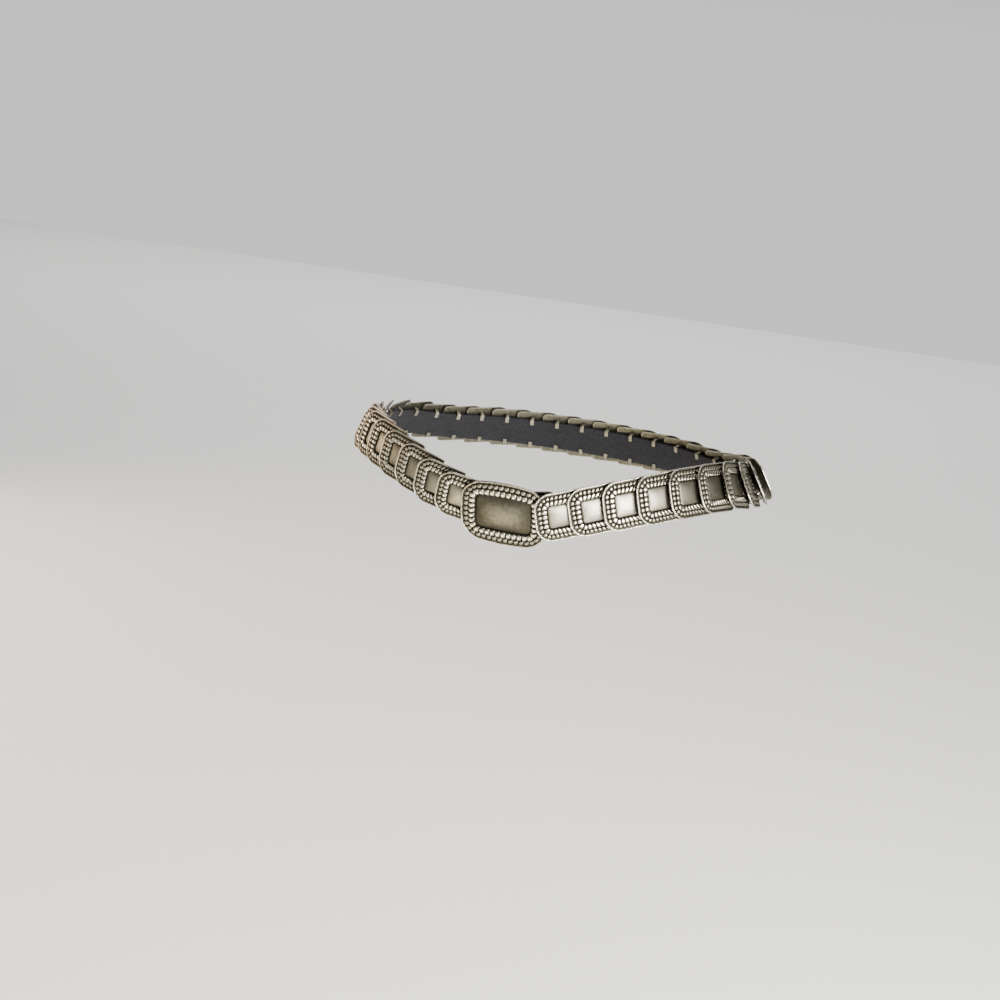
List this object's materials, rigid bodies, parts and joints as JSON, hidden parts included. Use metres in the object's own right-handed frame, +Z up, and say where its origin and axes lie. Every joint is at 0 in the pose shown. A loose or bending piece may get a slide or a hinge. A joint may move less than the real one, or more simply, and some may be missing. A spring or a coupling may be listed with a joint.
{
  "type": "stretch belt",
  "caption": "Worn stretch belt: cast plates with beaded borders overlap one way round a hidden elastic band, with one larger oblong plate at the front over a hidden clasp.",
  "frame": {"origin": "middle of the waist opening, at the height of the elastic band's centre line at the back", "axes": "+X to the wearer's left, which is the right of a view from the front, +Y from the front plate to the back, +Z up the wearer's waist"},
  "size_m": [0.2989, 0.2193, 0.0648],
  "materials": {
    "antique_metal": "cast, antique silver with dark oxide in the recesses",
    "clasp_metal": "plain satin",
    "black_elastic": "woven elastic, matte"
  },
  "bodies": {
    "root": {"front_plate": "antique_metal", "plate_00": "antique_metal", "plate_01": "antique_metal", "plate_02": "antique_metal", "plate_03": "antique_metal", "plate_04": "antique_metal", "plate_05": "antique_metal", "plate_06": "antique_metal", "plate_07": "antique_metal", "plate_08": "antique_metal", "plate_09": "antique_metal", "plate_10": "antique_metal", "plate_11": "antique_metal", "plate_12": "antique_metal", "plate_13": "antique_metal", "plate_14": "antique_metal", "plate_15": "antique_metal", "plate_16": "antique_metal", "plate_17": "antique_metal", "plate_18": "antique_metal", "plate_19": "antique_metal", "plate_20": "antique_metal", "plate_21": "antique_metal", "plate_22": "antique_metal", "plate_23": "antique_metal", "plate_24": "antique_metal", "plate_25": "antique_metal", "plate_26": "antique_metal", "plate_27": "antique_metal", "plate_28": "antique_metal", "plate_29": "antique_metal", "plate_30": "antique_metal", "plate_31": "antique_metal", "plate_32": "antique_metal", "plate_33": "antique_metal", "plate_34": "antique_metal", "plate_35": "antique_metal", "plate_36": "antique_metal", "elastic_band": "black_elastic", "clasp": "clasp_metal"}
  },
  "joints": []
}
